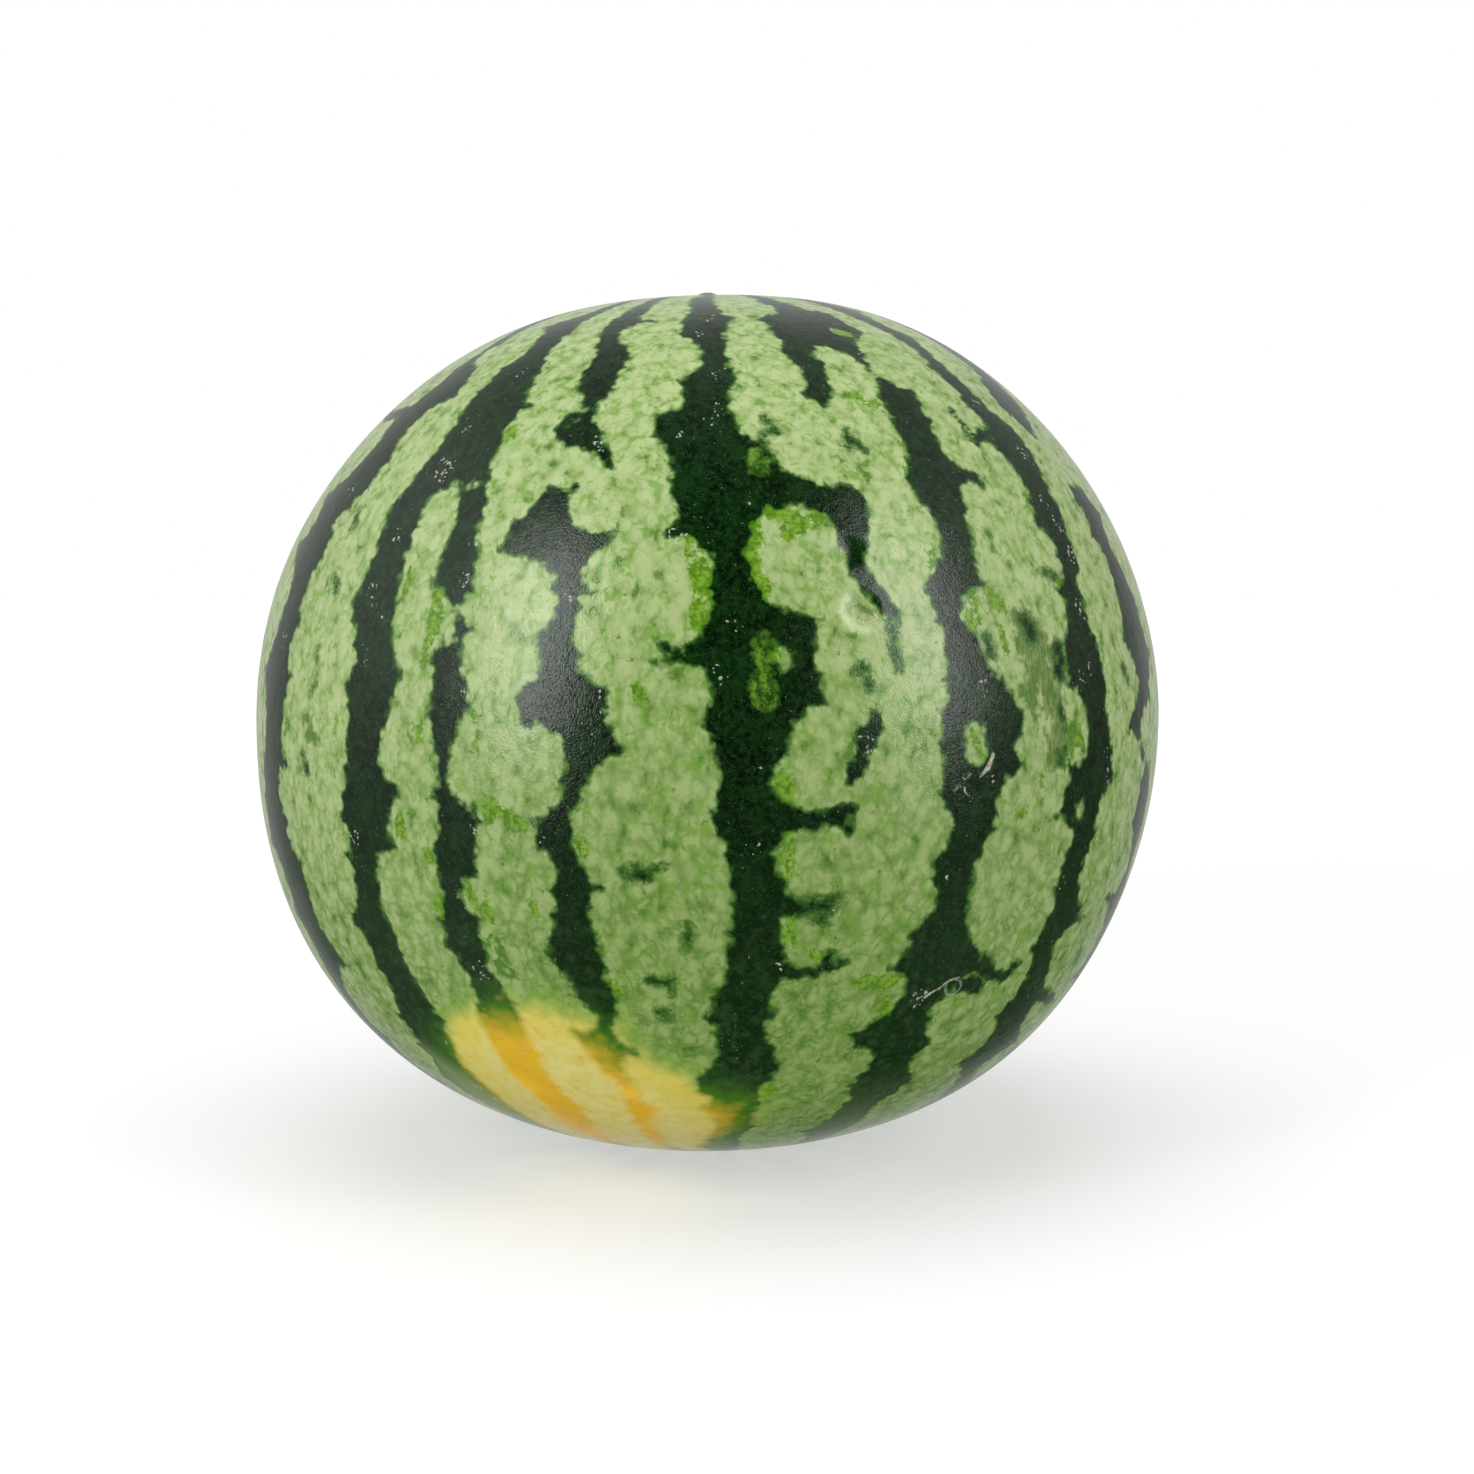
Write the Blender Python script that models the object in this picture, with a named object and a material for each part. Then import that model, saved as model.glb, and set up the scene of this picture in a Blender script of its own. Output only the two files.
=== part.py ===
"""A whole round striped watermelon, standing on its blossom end with the stem scar on top.

The fruit is one solid, as it grew: a blunt, slightly flattened globe with a few soft swellings,
a shallow hollow round the corky stub where the stem broke off, three small healed scars in the
rind, and the small flat spot that it rests on.

Metres, +Z up along the fruit's axis, front of the fruit towards -Y. The origin is the middle of
the resting spot, centred under the fruit's bounding box.
"""
import math

import bmesh
import bpy
from mathutils import Vector

# Driving dimensions, in metres.
HALF_WIDTH = 0.120
STEM_REACH = 0.9475      # height above the waist, as a share of the half width
BLOSSOM_REACH = 0.940    # depth below the waist, as a share of the half width
STEM_BLUNTNESS = 2.08    # superellipse exponent, where 2 is an ellipse and more is squarer
BLOSSOM_BLUNTNESS = 2.27
REST_CUT = 0.0008        # how much the lowest point is flattened, which sets the spot's width

# Soft swellings and flats: degrees round from the front towards +X, degrees above the waist,
# spread in degrees, and height in metres.
SWELLINGS = (
    (80, 64, 16, 0.0017),
    (-84, 37, 13, -0.0011),
    (84, -28, 14, -0.0020),
    (84, 0, 10, 0.0009),
)
HOLLOW_SPREAD = 12       # the hollow round the stem, in degrees from the axis
HOLLOW_DEPTH = 0.0016

# The stub of the stem: a low corky button in the hollow.
STUB_RADIUS = 0.0046
STUB_HEIGHT = 0.0034
STUB_SHOULDER = 0.0022   # width of its rounded edge

# Healed scars: degrees round, degrees above the waist, radius, depth of the pit, height of the rim.
SCARS = (
    (16.5, 22.5, 0.0042, 0.0007, 0.0002),
    (17.0, 16.0, 0.0048, 0.0009, 0.0003),
    (31.0, -26.5, 0.0030, 0.0004, 0.0003),
)
SCAR_REACH = 3.0         # a scar changes the rind out to this many of its radii
SCAR_MESH_SPREAD = 6.5   # degrees round each scar that get the finer mesh
SCAR_MESH_CUTS = 4

# Mesh: divisions round the axis and from pole to pole.
SEGMENTS = 72
RINGS = 46
RING_CROWDING = 0.8      # share by which the rings draw in towards the stem
CROWDING_SPREAD = 12.0   # degrees from the axis over which they do

RIND_COLOUR = (0.145, 0.262, 0.082, 1.0)
RIND_ROUGHNESS = 0.42


def towards(degrees_round, degrees_up):
    """Unit vector from the fruit's centre, 0 degrees round being the front (-Y)."""
    turn = math.radians(degrees_round)
    lift = math.radians(degrees_up)
    return Vector((
        math.cos(lift) * math.sin(turn),
        -math.cos(lift) * math.cos(turn),
        math.sin(lift),
    ))


def globe_radius(direction):
    """Distance from the centre to the plain globe, a superellipse turned about Z."""
    above = direction.z >= 0
    reach = STEM_REACH if above else BLOSSOM_REACH
    power = STEM_BLUNTNESS if above else BLOSSOM_BLUNTNESS
    across = math.hypot(direction.x, direction.y)
    return HALF_WIDTH * (across ** power + abs(direction.z / reach) ** power) ** (-1 / power)


def soft_bump(direction, centre, spread_degrees):
    """1 at the centre of a swelling, falling away like a bell."""
    return math.exp((direction.dot(centre) - 1) / math.radians(spread_degrees) ** 2)


def stub_rise(direction):
    """Height that the stem's stub adds near the top."""
    if direction.z <= 0:
        return 0.0
    off_axis = HALF_WIDTH * math.hypot(direction.x, direction.y)
    share = min(max((STUB_RADIUS - off_axis) / STUB_SHOULDER, 0), 1)
    return STUB_HEIGHT * share * share * (3 - 2 * share)


def scar_relief(direction):
    """Pit and raised rim of every scar, as a height on the rind."""
    height = 0.0
    for degrees_round, degrees_up, radius, depth, rim in SCARS:
        reach = HALF_WIDTH * direction.angle(towards(degrees_round, degrees_up)) / radius
        if reach < SCAR_REACH:
            height -= depth * math.exp(-1.5 * reach * reach)
            height += rim * math.exp(-6 * (reach - 1) ** 2)
    return height


def rind_point(direction):
    """The point of the rind in this direction from the centre."""
    radius = globe_radius(direction)
    for degrees_round, degrees_up, spread, height in SWELLINGS:
        radius += height * soft_bump(direction, towards(degrees_round, degrees_up), spread)
    radius -= HOLLOW_DEPTH * soft_bump(direction, Vector((0, 0, 1)), HOLLOW_SPREAD)
    radius += stub_rise(direction) + scar_relief(direction)
    return direction * radius


def crowd_rings(bm):
    """Draw the sphere's upper rings towards the stem, where the form is finest."""
    spread = math.radians(CROWDING_SPREAD)
    for vert in bm.verts:
        off_axis = math.hypot(vert.co.x, vert.co.y)
        if off_axis < 1e-6:
            continue
        angle = math.atan2(off_axis, vert.co.z)
        moved = angle * (1 - RING_CROWDING * math.exp(-(angle / spread) ** 2))
        shrink = math.sin(moved) / off_axis
        vert.co = Vector((vert.co.x * shrink, vert.co.y * shrink, math.cos(moved)))


def refine_round_scars(bm):
    """Cut the faces round each scar into smaller ones."""
    limit = math.radians(SCAR_MESH_SPREAD)
    centres = [towards(scar[0], scar[1]) for scar in SCARS]
    near = {vert for vert in bm.verts if any(vert.co.angle(centre) < limit for centre in centres)}
    edges = [edge for edge in bm.edges if near.issuperset(edge.verts)]
    bmesh.ops.subdivide_edges(bm, edges=edges, cuts=SCAR_MESH_CUTS, use_grid_fill=True)
    many_sided = [face for face in bm.faces if len(face.verts) > 4]
    bmesh.ops.triangulate(bm, faces=many_sided)


def flatten_rest_spot(bm):
    """Cut the lowest sliver off and close it with one flat face."""
    lowest = min(vert.co.z for vert in bm.verts)
    cut = bmesh.ops.bisect_plane(
        bm,
        geom=bm.verts[:] + bm.edges[:] + bm.faces[:],
        plane_co=(0, 0, lowest + REST_CUT),
        plane_no=(0, 0, 1),
        clear_inner=True,
    )
    rim = [item for item in cut["geom_cut"] if isinstance(item, bmesh.types.BMEdge)]
    bmesh.ops.contextual_create(bm, geom=rim)


def centre_on_rest_spot(bm):
    """Put the origin on the resting plane, under the middle of the bounding box."""
    spans = [[vert.co[axis] for vert in bm.verts] for axis in range(3)]
    middle_x = (min(spans[0]) + max(spans[0])) / 2
    middle_y = (min(spans[1]) + max(spans[1])) / 2
    bmesh.ops.translate(bm, verts=bm.verts, vec=(-middle_x, -middle_y, -min(spans[2])))


def rind_material():
    material = bpy.data.materials.new("rind")
    material.use_nodes = True
    shader = material.node_tree.nodes["Principled BSDF"]
    shader.inputs["Base Color"].default_value = RIND_COLOUR
    shader.inputs["Roughness"].default_value = RIND_ROUGHNESS
    shader.inputs["Metallic"].default_value = 0.0
    return material


def make_watermelon(collection):
    bm = bmesh.new()
    bmesh.ops.create_uvsphere(bm, u_segments=SEGMENTS, v_segments=RINGS, radius=1.0)
    crowd_rings(bm)
    refine_round_scars(bm)
    for vert in bm.verts:
        vert.co = rind_point(vert.co.normalized())
    flatten_rest_spot(bm)
    centre_on_rest_spot(bm)
    bmesh.ops.recalc_face_normals(bm, faces=bm.faces)

    mesh = bpy.data.meshes.new("watermelon")
    bm.to_mesh(mesh)
    bm.free()
    mesh.shade_smooth()
    mesh.set_sharp_from_angle(angle=math.radians(40))
    mesh.materials.append(rind_material())
    watermelon = bpy.data.objects.new("watermelon", mesh)
    collection.objects.link(watermelon)
    return watermelon


for leftover in list(bpy.data.objects):
    bpy.data.objects.remove(leftover, do_unlink=True)

parts = bpy.data.collections.new("watermelon")
bpy.context.scene.collection.children.link(parts)
make_watermelon(parts)
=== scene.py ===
# %% [markdown]
# # A striped watermelon
# A round striped watermelon stands on its blossom end, with the stem scar on top. The fruit is one
# piece, so the work is in its skin: a hard, waxy rind whose dark stripes have edges like cauliflower,
# a pale spot where it lay on the field, and the small healed scars that every fruit picks up.
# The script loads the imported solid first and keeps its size, so that everything after it fits.

# %% Load the frame
import math

import bmesh
import bpy
import numpy as np
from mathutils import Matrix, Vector
from mathutils.kdtree import KDTree


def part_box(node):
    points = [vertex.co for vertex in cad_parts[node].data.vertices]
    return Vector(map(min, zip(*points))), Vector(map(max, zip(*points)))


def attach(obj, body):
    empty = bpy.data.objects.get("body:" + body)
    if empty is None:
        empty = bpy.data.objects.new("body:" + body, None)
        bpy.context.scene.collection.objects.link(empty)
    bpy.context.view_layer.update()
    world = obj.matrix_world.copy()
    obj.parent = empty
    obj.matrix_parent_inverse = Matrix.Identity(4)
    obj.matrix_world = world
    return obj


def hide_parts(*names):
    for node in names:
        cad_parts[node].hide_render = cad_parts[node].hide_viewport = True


scene = bpy.context.scene


def new_object(name, data):
    """An object in the scene that shows this data."""
    thing = bpy.data.objects.new(name, data)
    scene.collection.objects.link(thing)
    return thing


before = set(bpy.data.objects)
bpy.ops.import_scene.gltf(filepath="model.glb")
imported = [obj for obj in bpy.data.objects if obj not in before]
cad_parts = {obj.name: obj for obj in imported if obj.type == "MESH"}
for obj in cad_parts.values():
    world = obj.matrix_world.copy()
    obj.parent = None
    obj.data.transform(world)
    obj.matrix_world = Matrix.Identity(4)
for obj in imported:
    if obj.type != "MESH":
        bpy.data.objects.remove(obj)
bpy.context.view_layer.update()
fruit_low, fruit_high = (Vector(corner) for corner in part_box("watermelon"))
print("fruit is", [round(side, 4) for side in fruit_high - fruit_low], "m")


# %% [markdown]
# ## The form
# A watermelon is a slightly squared globe, so its radius comes from a superellipse, with the same
# values as the solid. Directions are given as on a map: degrees round from the front towards +X,
# and degrees up from the waist. A formula was chosen over sculpting because the stripes are laid
# out in the same two angles.

# %% The globe's formula
HALF_WIDTH = 0.120
STEM_REACH, STEM_BLUNTNESS = 0.9475, 2.08
BLOSSOM_REACH, BLOSSOM_BLUNTNESS = 0.940, 2.27
REST_CUT = 0.0008

# Degrees round, degrees up, spread in degrees, height in metres.
SWELLINGS = (
    (80, 64, 16, 0.0017),
    (-84, 37, 13, -0.0011),
    (84, -28, 14, -0.0020),
    (84, 0, 10, 0.0009),
    (0, 90, 12, -0.0016),
)
STUB_RADIUS, STUB_HEIGHT, STUB_SHOULDER = 0.0056, 0.0019, 0.0046

# Degrees round, degrees up, radius, depth of the pit, height of the rim.
SCARS = (
    (16.5, 22.5, 0.0042, 0.0007, 0.0002),
    (17.0, 16.0, 0.0048, 0.0009, 0.0003),
    (31.0, -26.5, 0.0030, 0.0004, 0.0003),
)
PIT_STEEPNESS, RIM_STEEPNESS = 1.5, 6


def towards(around, up):
    """Unit vector from the fruit's centre for these degrees round and up."""
    turn, lift = np.radians(around), np.radians(up)
    return np.stack([np.cos(lift) * np.sin(turn), -np.cos(lift) * np.cos(turn), np.sin(lift)], -1)


def angle_between(directions, centre):
    return np.arccos(np.clip(directions @ centre, -1, 1))


def globe_radius(directions):
    above = directions[:, 2] >= 0
    reach = np.where(above, STEM_REACH, BLOSSOM_REACH)
    power = np.where(above, STEM_BLUNTNESS, BLOSSOM_BLUNTNESS)
    across = np.hypot(directions[:, 0], directions[:, 1])
    return HALF_WIDTH * (across ** power + np.abs(directions[:, 2] / reach) ** power) ** (-1 / power)


def scar_relief(directions):
    height = np.zeros(len(directions))
    for around, up, radius, depth, rim in SCARS:
        reach = HALF_WIDTH * angle_between(directions, towards(around, up)) / radius
        height -= depth * np.exp(-PIT_STEEPNESS * reach ** 2)
        height += rim * np.exp(-RIM_STEEPNESS * (reach - 1) ** 2)
    return height


def stub_rise(directions):
    off_axis = HALF_WIDTH * np.hypot(directions[:, 0], directions[:, 1])
    share = np.clip((STUB_RADIUS - off_axis) / STUB_SHOULDER, 0, 1) * (directions[:, 2] > 0)
    return STUB_HEIGHT * share ** 2 * (3 - 2 * share)


def rind_points(directions):
    """The points of the rind in these directions from the centre."""
    radius = globe_radius(directions)
    for around, up, spread, height in SWELLINGS:
        fall = (directions @ towards(around, up) - 1) / math.radians(spread) ** 2
        radius += height * np.exp(fall)
    radius += stub_rise(directions) + scar_relief(directions)
    return directions * radius[:, None]


# %% [markdown]
# ## The rind's mesh
# The stripes are stored on the mesh's points, so it has to be fine and even everywhere. A globe of
# latitudes and longitudes would crowd them at the poles, so it starts as a cube that is divided
# into a grid and rounded. Round the stem, the scars and the scabs its squares are divided again.

# %% Round a cube into the rind
GRID, FINE_CUTS = 118, 3
STEM_FINE, SCAB_FINE = 0.0085, 0.0028
# Thin scabs and scratches: (degrees up, degrees round, half width in millimetres).
SCABS = (
    [(-25.6, 31.9, .2), (-26.1, 30.6, .3), (-26.9, 29, .2), (-27.8, 27.7, .4)],
    [(15.2, -24.2, .2), (14, -23.8, .3)], [(0, 32.7, .4), (-1.4, 32, .6), (-2.4, 30.9, .1)],
    [(-2, 29.6, .1), (-3.8, 27.4, .15)],
    [(15.9, 16, .1), (15, 16.4, .2), (14.5, 17.6, .2), (15, 18.9, .2), (15.9, 18.5, .1)],
)
FINE_SPOTS = [(towards(0, 90), STEM_FINE)]
FINE_SPOTS += [(towards(scar[0], scar[1]), 2.0 * scar[2]) for scar in SCARS]
FINE_SPOTS += [(towards(at, up), SCAB_FINE) for scab in SCABS for up, at, half_width in scab]


def cube_ball():
    """A closed ball of even squares with a radius of one."""
    bm = bmesh.new()
    bmesh.ops.create_cube(bm, size=2)
    bmesh.ops.subdivide_edges(bm, edges=bm.edges[:], cuts=GRID - 1, use_grid_fill=True)
    for vert in bm.verts:
        even = [math.tan(side * math.pi / 4) for side in vert.co]
        vert.co = Vector(even).normalized()
    near = set()
    for centre, reach in FINE_SPOTS:
        limit = math.cos(reach / HALF_WIDTH)
        near.update(vert for vert in bm.verts if vert.co.dot(centre) > limit)
    edges = [edge for edge in bm.edges if near.issuperset(edge.verts)]
    bmesh.ops.subdivide_edges(bm, edges=edges, cuts=FINE_CUTS, use_grid_fill=True)
    bmesh.ops.triangulate(bm, faces=[face for face in bm.faces if len(face.verts) > 4])
    mesh = bpy.data.meshes.new("rind")
    bm.to_mesh(mesh)
    bm.free()
    return mesh


rind_mesh = cube_ball()
point_count = len(rind_mesh.vertices)
flat = np.empty(point_count * 3, np.float32)
rind_mesh.vertices.foreach_get("co", flat)
directions = flat.reshape(-1, 3).astype(float)
directions /= np.linalg.norm(directions, axis=1)[:, None]
points = rind_points(directions)
points[:, 2] = np.maximum(points[:, 2], points[:, 2].min() + REST_CUT)
heart = Vector((
    -(points[:, 0].min() + points[:, 0].max()) / 2,
    -(points[:, 1].min() + points[:, 1].max()) / 2,
    -points[:, 2].min(),
))
points = np.clip(points + np.array(heart), fruit_low, fruit_high)
rind_mesh.vertices.foreach_set("co", points.astype(np.float32).ravel())
rind_mesh.shade_smooth()
rind_mesh.update()
rind = new_object("rind", rind_mesh)
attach(rind, "root")
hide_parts("watermelon")
triangles = sum(len(face.vertices) - 2 for face in rind_mesh.polygons)
print("rind has", point_count, "points and", triangles, "triangles")


# %% [markdown]
# ## Laying out the stripes
# Each dark stripe follows a meridian, and its outline is drawn as (degrees up, degrees to
# the right of the meridian), from the stem down its left edge and back up its right edge. The
# points are the tips of the dark teeth and the crests of the pale lobes between them. Noise alone
# was not enough, because it makes no forks, bays and bridges as a real fruit has.

# %% Outlines of the stripes at the front
STRIPES = {
    -62: [(88, -4), (66, -4), (62, -1), (57, 3.5), (51, 3.4), (47, 4.2), (43, .5), (40, 1), (36, 1.7),
     (32.5, -1), (30, -8), (27, -4.3), (23.5, -8.5), (21, -5.5), (18, -2.8), (12, -4), (8, -8.2), (2, -5),
     (-3, -7), (-8, -8), (-14, -9), (-17, -4), (-22, -6), (-25, -3), (-31, -3), (-38, -4.5), (-46, -6),
     (-60, -5), (-88, 2), (-88, 10), (-60, 6), (-47, 6), (-44, 2.5), (-39, 4), (-36, 1), (-31, 1),
     (-27, 8.5), (-25, 6), (-21.5, 3.6), (-18, 4.7), (-14, 4), (-12, 1.3), (-9.5, 1.9), (-5, 0), (-3, 3.6),
     (1, 1.7), (7.4, 4.6), (10, 2.4), (13.2, 4.5), (18.5, 3.4), (21, 5.6), (24, 5.4), (26.7, 4.4),
     (28, 6.7), (31, 9.8), (32.3, 9), (34.5, 10.8), (38, 9.4), (40, 9.7), (43, 11.5), (44.5, 15.3),
     (47, 14.5), (50.3, 13), (52.5, 8), (55, 6.7), (57, 8.5), (64, 5), (88, 4)],
    -47: [(88, 5), (72, 8.5), (66, 9.5), (63, 5), (60.6, .5), (59.3, 5), (56, 7), (53, 8.4), (50, 6.3),
     (46, 6), (43, 5.5), (41.5, 6), (37, 6), (34.5, 5.6), (32, 4), (30, 3.8), (28.4, 2.3), (25, 2.2),
     (21, 2.7), (18.5, 2), (16, .7), (13.5, 2.3), (10, 3.2), (6.6, 1.6), (4, 3), (-1, 2.6), (-4, 2),
     (-8, .7), (-10, 2.2), (-12, 1), (-15, 2), (-18, 1), (-20.2, -1.4), (-21.6, .6), (-26, 1), (-28.5, 2.2),
     (-31, 1.5), (-33, -.7), (-35, .8), (-38, -.6), (-40, .5), (-44, -3), (-50, -1), (-60, 1), (-88, 7),
     (-88, 15), (-60, 11), (-50, 8.5), (-46, 9), (-40, 7.5), (-35.8, 8.5), (-32.3, 9.4), (-30, 8.5),
     (-25, 7.6), (-22, 7), (-20, 6.6), (-18, 5.7), (-15, 6.5), (-12, 6.7), (-10.6, 9.7), (-8.2, 8.9),
     (-6, 9.6), (-4.3, 11.3), (-2.6, 8.8), (-.6, 7.9), (2, 8.7), (6, 10.2), (8.4, 10.9), (11, 9.7),
     (13.8, 8.4), (15, 8.8), (21, 8.2), (27, 9), (28.6, 8.7), (29.8, 10.2), (30.9, 12.2), (30.2, 13.6),
     (31, 17.5), (36.3, 16.8), (40, 17.2), (42.2, 18.8), (44, 17.2), (46, 16.5), (50, 15.8), (53, 14.4),
     (56.5, 13.6), (58.5, 15.4), (61, 13.1), (65, 14), (72, 13.5), (88, 13)],
    -34: [(30.6, -.6), (30, .4), (28, 1.3), (24.4, 1.7), (21, .9), (18.5, .7), (17.6, 3), (16, 3.6),
     (15.2, 4.5), (13.6, 4.4), (12.3, 3), (10, 1.9), (7.5, 3), (5, 2.1), (1, 3.2), (-1.5, 3.7), (-4.5, 2.7),
     (-6.6, 3.5), (-10, 2.6), (-13, 2.8), (-16.8, 2.8), (-18, 1.4), (-20, 2.3), (-22, 1.9), (-24, 3.8),
     (-27, 4.3), (-30, 3.6), (-36, 4), (-41, 4), (-46, 5.6), (-54, 5.2), (-70, 6), (-88, 10), (-88, 18),
     (-70, 13), (-58, 11.2), (-51, 12.2), (-46, 12.6), (-40, 10), (-36, 10.8), (-33, 9.8), (-28, 9.6),
     (-25, 7.7), (-21, 7.2), (-18, 7.4), (-17.3, 6.4), (-15, 5.2), (-12.6, 8.3), (-10, 8), (-7, 8.8),
     (-5.2, 8), (-4, 5.3), (-1, 5), (2.6, 5.9), (4.9, 7.9), (7, 7.3), (10, 6.2), (12.3, 6.1), (14, 7.4),
     (15, 5.2), (16.2, 5.2), (18, 6.4), (22, 6.3), (25, 5.3), (28.2, 5.7), (30.6, 4.6)],
    -22: [(88, -4), (72, -1.3), (65, -1.7), (61, -2.5), (58, -2.8), (56, -1), (53.5, -.4), (51, .3),
     (49.8, .8), (47, .4), (44.6, 1), (41.2, 3.7), (40, 3.4), (38.9, .5), (37.4, 1.2), (36.2, 1.5),
     (35.6, 4), (35.2, 5.8), (34, 7.4), (33, 9), (33, 9.4), (34.6, 8.8), (36, 8), (37.4, 7.2), (39.6, 5.7),
     (41.5, 5.1), (45, 7.4), (46.6, 6.7), (49, 7.2), (51.3, 8.2), (53.6, 6), (55.8, 2.7), (59, 3.4),
     (60.8, 9), (62.5, 4.4), (66, 3.8), (72, 3.4), (88, 6)],
    -19: [(30.2, -1.3), (28.4, -2.5), (27, -3.2), (26.3, -4.6), (24.6, -5.3), (22.4, -6.2), (21.8, -2.6),
     (20.5, .8), (18, 1.5), (16, 2.5), (14.5, 1.2), (12.5, .2), (9.5, .5), (7, -1.9), (4.6, -1.2),
     (3.4, -.4), (2.8, 2.8), (0, 3.9), (-3, 3.4), (-5, 2.7), (-6, .2), (-9, .4), (-11.5, 2.5), (-14, 1.4),
     (-17.4, 1.7), (-21.3, .4), (-24.5, 2.4), (-26.2, 2.8), (-28.2, 4.7), (-31, 4.9), (-31.6, 2),
     (-35.4, 3.2), (-38.6, 4.8), (-41, 6.4), (-45, 6.2), (-51, 6.8), (-58, 7), (-70, 9), (-88, 15),
     (-88, 21), (-60, 10), (-55, 9.8), (-51, 8.8), (-47.5, 9), (-45.2, 11.4), (-43.5, 8.4), (-41.6, 9.2),
     (-39.5, 7.6), (-36.2, 7.2), (-34.4, 9.6), (-31.6, 7), (-29, 8), (-26, 7.9), (-22, 7.1), (-19, 6.4),
     (-15.6, 5.9), (-13.4, 7.8), (-12.6, 6.4), (-10, 4.8), (-7.6, 4.2), (-4.2, 5.1), (-2.6, 6.3),
     (-.3, 7.7), (1.3, 10), (3, 8.8), (6, 8.2), (7.6, 8.7), (8.4, 6.2), (10, 5.2), (13, 4.6), (16.8, 4.7),
     (18, 6.6), (19.4, 5), (21, 4.9), (23.4, 7.2), (24.7, 8.7), (24.9, 4.4), (25.6, 3), (27.6, 2),
     (30.2, 2.4)],
    -1: [(88, -7), (72, -5), (66, -4), (62, -4), (60.2, -4.9), (57.5, -4.3), (55.4, -4.1), (53.4, -.8),
     (50.5, .2), (48, -.6), (46.4, -3.6), (43.2, -2.4), (41.6, -2.9), (40, -6.8), (37.5, -6.3),
     (35.2, -4.6), (32.5, -3.2), (31.2, -3.8), (27, -2.6), (25.6, -3), (24, -3.8), (22.6, .7), (18, .7),
     (15.6, 1.4), (13.4, 0), (11.4, -2.8), (10.2, -.2), (9, 1.2), (7.6, 1.5), (6.2, 1.3), (5, .5), (1, 1.7),
     (-2.6, 2.4), (-5, 1), (-8, 2.7), (-10.3, 2.9), (-13, 3.6), (-19.5, 3.5), (-24.5, 2.6), (-26.8, 1.8),
     (-28.5, .2), (-31, 2.2), (-32.8, 1.8), (-35.2, 2.4), (-37.4, -.5), (-40.4, .2), (-41.2, -.2), (-43, 2),
     (-44.5, 0), (-47, 1.6), (-50, 2.9), (-55, 1.4), (-60, -1), (-88, 7), (-88, 15), (-60, 8), (-54, 7.4),
     (-51, 9), (-48, 8.4), (-44.2, 8.8), (-42.4, 8), (-39, 9.9), (-36, 10.9), (-33.4, 9.2), (-31, 8.2),
     (-28.4, 9), (-26.5, 8.4), (-23.6, 10), (-21.4, 10), (-19.4, 9.3), (-15.8, 9), (-14, 9.8), (-12, 8.6),
     (-9.4, 8.2), (-7, 11.2), (-5, 10.6), (-4.2, 9), (-2.4, 7.6), (.6, 9.4), (4.6, 10.4), (5.8, 13.2),
     (8, 13.4), (10.6, 12.5), (13, 12.6), (15.2, 13.5), (15.6, 11), (16.4, 8.4), (19, 6.4), (22, 5.6),
     (25, 6.2), (27.2, 8), (28.1, 12.4), (28.6, 15.6), (31, 15.2), (31.4, 13.2), (32, 11.4), (33.6, 9.8),
     (36.3, 9.4), (36.6, 7.4), (37.5, 5.5), (40, 4.5), (43, 4.4), (46.5, 5.8), (50.6, 4.5), (57, 4.9),
     (59.6, 5.8), (61.4, 7.6), (63.6, 5), (67, 3.6), (72, 3.6), (88, 7)],
    25: [(88, -9), (72, -6), (68, -6.2), (64.5, -4.4), (62.6, -10), (61, -13), (59.4, -10.7), (57.6, -11.4),
     (55.2, -10), (53.6, -9.8), (51.6, -10.8), (48, -8.6), (44, -9.9), (42.6, -8), (41.6, -6.7),
     (42.6, -6.2), (44.6, -5), (48, -4.4), (49.8, -3.7), (52, -4.4), (53.6, -3), (53.5, .4), (51.4, 3.3),
     (47.6, 4.7), (45.7, 4.3), (44.6, 2.9), (42, 3.4), (38, 2.7), (35, 3.3), (33, 2), (30.8, 1.2), (29, 2),
     (24.4, 4.1), (21.4, 3), (19.4, 1.4), (18.2, .3), (16, 1.1), (11.4, 1.9), (8, 1.5), (4, 1.3), (1.6, .5),
     (-2.2, 1.4), (-4, .6), (-7.4, 2.5), (-9.6, 2), (-11.6, .3), (-13.4, .2), (-15.6, 1.6), (-18, 0),
     (-19.6, -1.4), (-21.4, -1.2), (-23.2, -3.7), (-26.6, -.4), (-29.4, -2.2), (-31.2, -4.2), (-32.2, -6.4),
     (-34.4, -5.6), (-35.6, -2.2), (-38, -1.6), (-41, -3.8), (-44.4, -1.9), (-50, -2.8), (-53.6, -5.8),
     (-58, -2), (-66, -1), (-88, 1), (-88, 9), (-66, 7), (-56, 4.6), (-51.6, 6.4), (-46.4, 4.8), (-44.6, 7),
     (-43, 7.3), (-41.4, 8), (-38.4, 5.2), (-35.2, 6.5), (-33, 5), (-31, 4.5), (-28.4, 4.9), (-26.6, 7),
     (-25.8, 8.4), (-23, 10.4), (-21.6, 7.8), (-19, 6.2), (-16, 5.7), (-13, 6), (-10, 6.7), (-8.2, 8.7),
     (-6, 8.2), (-3, 9.6), (-1.6, 12.2), (-.2, 10.8), (1, 11), (3.8, 12.3), (6, 10.6), (8.6, 9.2),
     (10, 7.2), (12.4, 7), (13.6, 5.4), (15.6, 4.6), (17.6, 5.6), (18.3, 8.3), (19.2, 8.2), (22, 8),
     (23.6, 9), (25, 8.6), (28, 9), (30.8, 10), (30.4, 13.8), (32.6, 13.6), (33.2, 11.4), (34.4, 10),
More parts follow.
